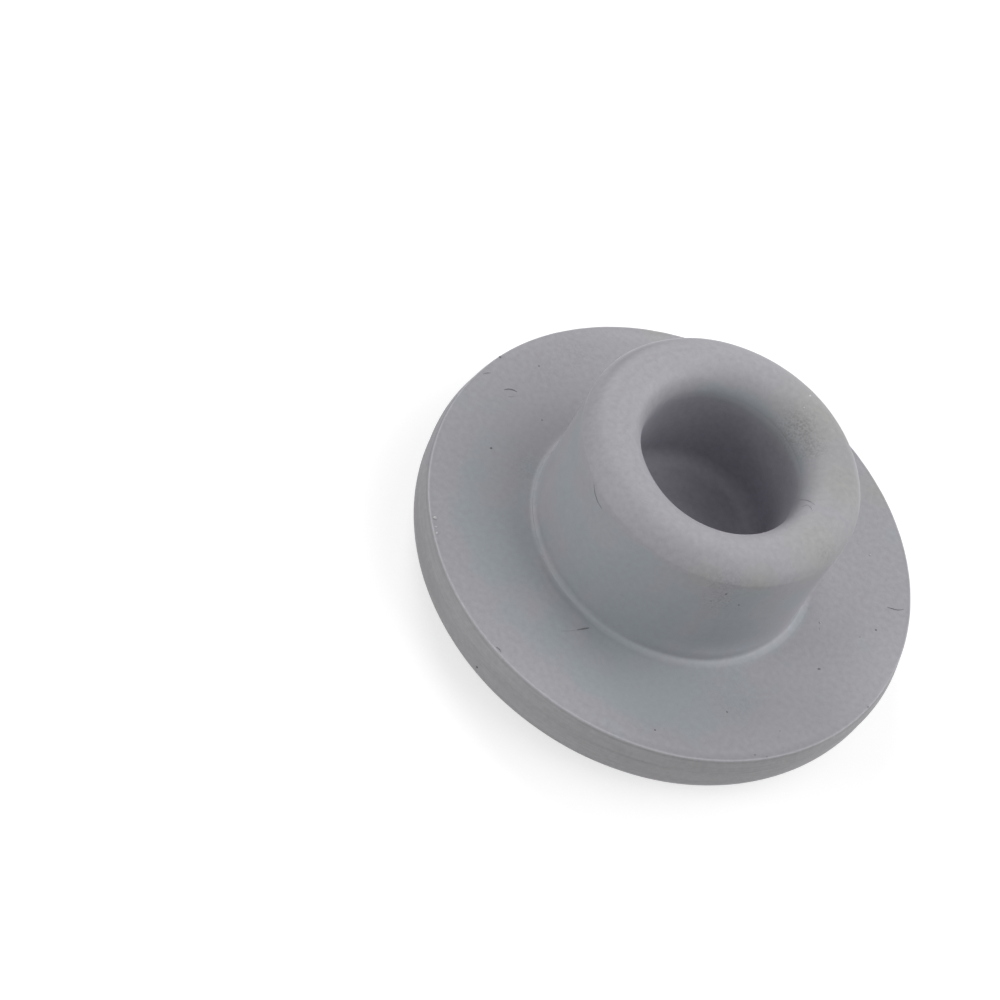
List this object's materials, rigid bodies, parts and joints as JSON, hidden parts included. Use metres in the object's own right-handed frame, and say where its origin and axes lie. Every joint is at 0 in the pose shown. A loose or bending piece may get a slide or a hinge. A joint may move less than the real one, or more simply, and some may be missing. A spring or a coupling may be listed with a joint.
{
  "type": "rubber stopper",
  "caption": "Grey rubber vial stopper: flat flange with a rounded edge, and a short plug with a rounded lip round a blind hollow.",
  "frame": {"origin": "on the axis, in the plane that the raised target ring of the top face rests on", "axes": "+Z along the axis, from the flange's top face towards the plug's tip; X and Y are any two radii at right angles"},
  "size_m": [0.013, 0.013, 0.0057],
  "materials": {
    "rubber": "matte, cool mid grey"
  },
  "bodies": {
    "root": {"stopper": "rubber"}
  },
  "joints": []
}
